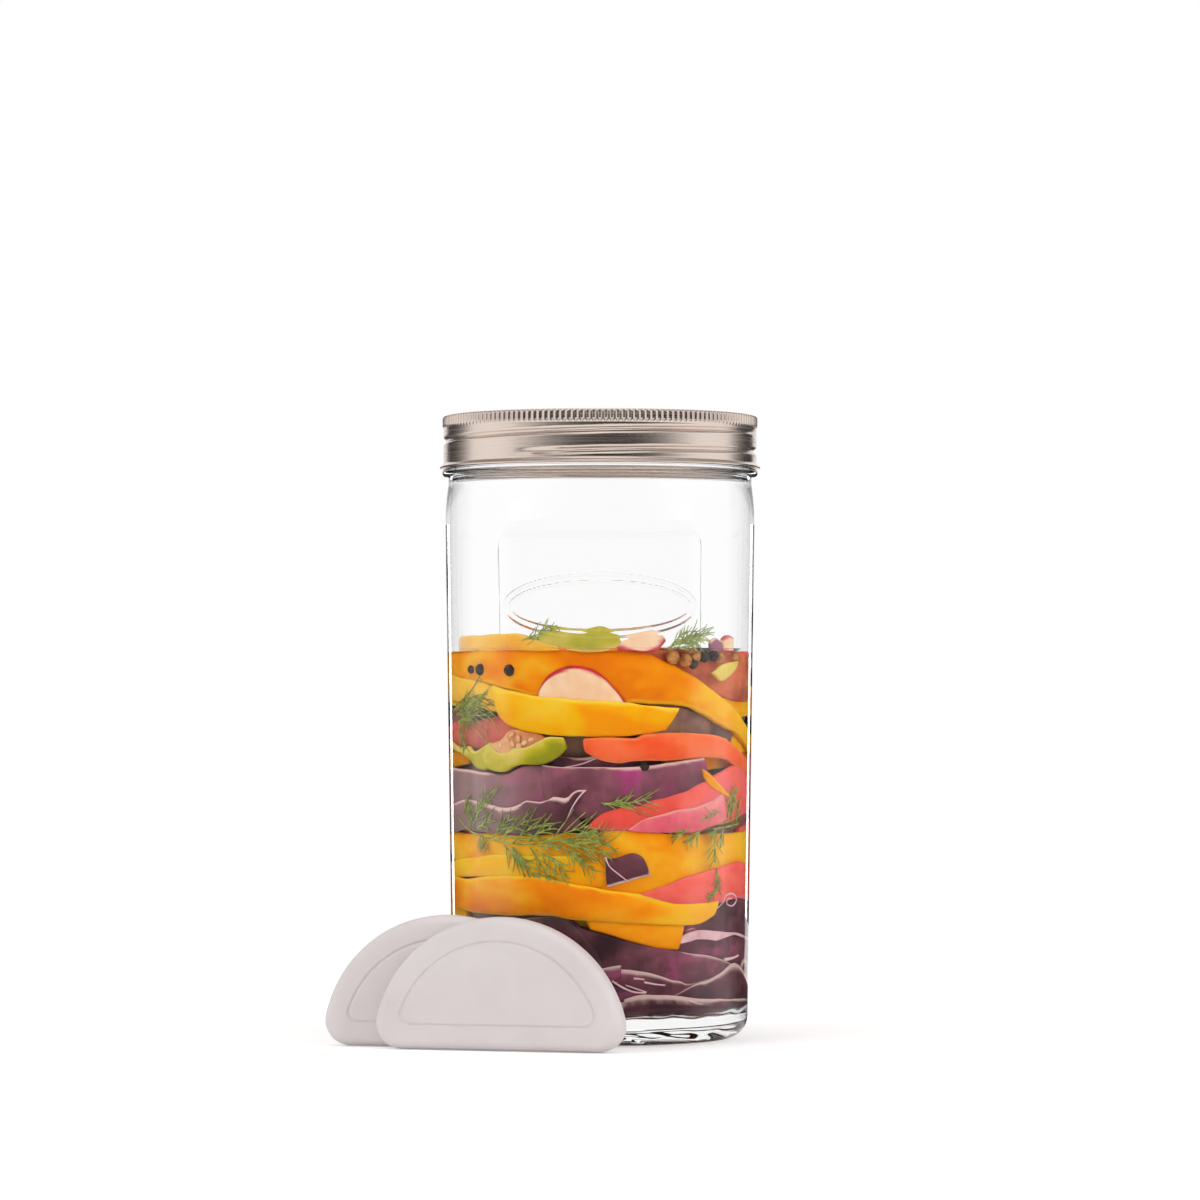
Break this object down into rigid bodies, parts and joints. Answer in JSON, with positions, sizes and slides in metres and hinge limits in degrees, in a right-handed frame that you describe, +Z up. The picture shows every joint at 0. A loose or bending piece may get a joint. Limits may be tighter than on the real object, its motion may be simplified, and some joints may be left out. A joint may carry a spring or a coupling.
{
  "type": "fermentation jar with airlock",
  "caption": "Tall clear glass jar of vegetables in brine, shut by a knurled screw band over a disc with a one-way silicone airlock; half-moon ceramic weights stand beside it.",
  "frame": {"origin": "centre of the jar's foot, on the table", "axes": "+Z up along the jar's axis, -Y towards the front, where the weights stand, +X to the right"},
  "size_m": [0.1314, 0.1154, 0.1916],
  "materials": {
    "jar_glass": "clear moulded glass",
    "band_steel": "bright rolled sheet",
    "disc_steel": "spun bright sheet",
    "seal_silicone": "matt silicone",
    "airlock_silicone": "matt silicone",
    "weight_ceramic": "unglazed white stoneware",
    "brine": "clear pink brine",
    "peppercorn": "wrinkled",
    "pepper_orange": "wet",
    "pepper_amber": "wet",
    "pepper_coral": "wet",
    "pepper_yellow": "wet",
    "pepper_red": "wet",
    "pepper_green": "wet",
    "red_cabbage": "wet",
    "radish": "wet",
    "dill": "wet"
  },
  "bodies": {
    "jar": {"glass_jar": "jar_glass", "amber_pepper_slice": "pepper_amber", "brine": "brine", "cabbage_scrap": "red_cabbage", "coral_pepper_strip": "pepper_coral", "dill_floater": "dill", "dill_sprig_left": "dill", "dill_sprig_right": "dill", "green_pepper_floater": "pepper_green", "green_pepper_slice": "pepper_green", "green_pepper_slice_back": "pepper_green", "orange_pepper_floater": "pepper_orange", "orange_pepper_strip_back_high": "pepper_orange", "orange_pepper_strip_back_low": "pepper_orange", "orange_pepper_strip_high": "pepper_orange", "orange_pepper_strip_left": "pepper_orange", "orange_pepper_strip_low": "pepper_orange", "orange_pepper_strip_mid": "pepper_orange", "orange_pepper_strip_under": "pepper_orange", "packed_core": "red_cabbage", "peppercorns": "peppercorn", "radish_floater": "radish", "radish_slice": "radish", "red_cabbage_back": "red_cabbage", "red_cabbage_back_high": "red_cabbage", "red_cabbage_bed_back": "red_cabbage", "red_cabbage_bed_front": "red_cabbage", "red_cabbage_left": "red_cabbage", "red_cabbage_right": "red_cabbage", "red_cabbage_shred": "red_cabbage", "red_pepper_chunk": "pepper_red", "red_pepper_floater": "pepper_red", "red_pepper_strip_back": "pepper_red", "red_pepper_strip_low": "pepper_red", "red_pepper_strip_mid": "pepper_red", "yellow_pepper_strip_back": "pepper_yellow", "yellow_pepper_strip_high": "pepper_yellow", "yellow_pepper_strip_low": "pepper_yellow"},
    "lid": {"lid_disc": "disc_steel", "rim_seal": "seal_silicone", "airlock_seat": "airlock_silicone"},
    "band": {"screw_band": "band_steel"},
    "valve": {"airlock_flap": "airlock_silicone"},
    "front_weight": {"ceramic_weight_front": "weight_ceramic"},
    "back_weight": {"ceramic_weight_back": "weight_ceramic"}
  },
  "joints": [
    {"name": "lid_lift", "type": "slide", "parent": "jar", "child": "lid", "axis": [0, 0, 1], "range_m": [0, 0.024]},
    {"name": "band_turn", "type": "hinge", "parent": "lid", "child": "band", "pos_m": [0, 0, 0.182], "axis": [0, 0, 1], "range_deg": [0, 1440]},
    {"name": "valve_lift", "type": "slide", "parent": "lid", "child": "valve", "axis": [0, 0, 1], "range_m": [0, 0.001]},
    {"name": "front_weight_lift", "type": "slide", "parent": "jar", "child": "front_weight", "axis": [0, 0, 1], "range_m": [0, 0.12]},
    {"name": "back_weight_lift", "type": "slide", "parent": "jar", "child": "back_weight", "axis": [0, 0, 1], "range_m": [0, 0.045]}
  ],
  "couplings": [
    {"joint": "lid_lift", "follows": "band_turn", "m_per_rad": 0.00095493}
  ]
}
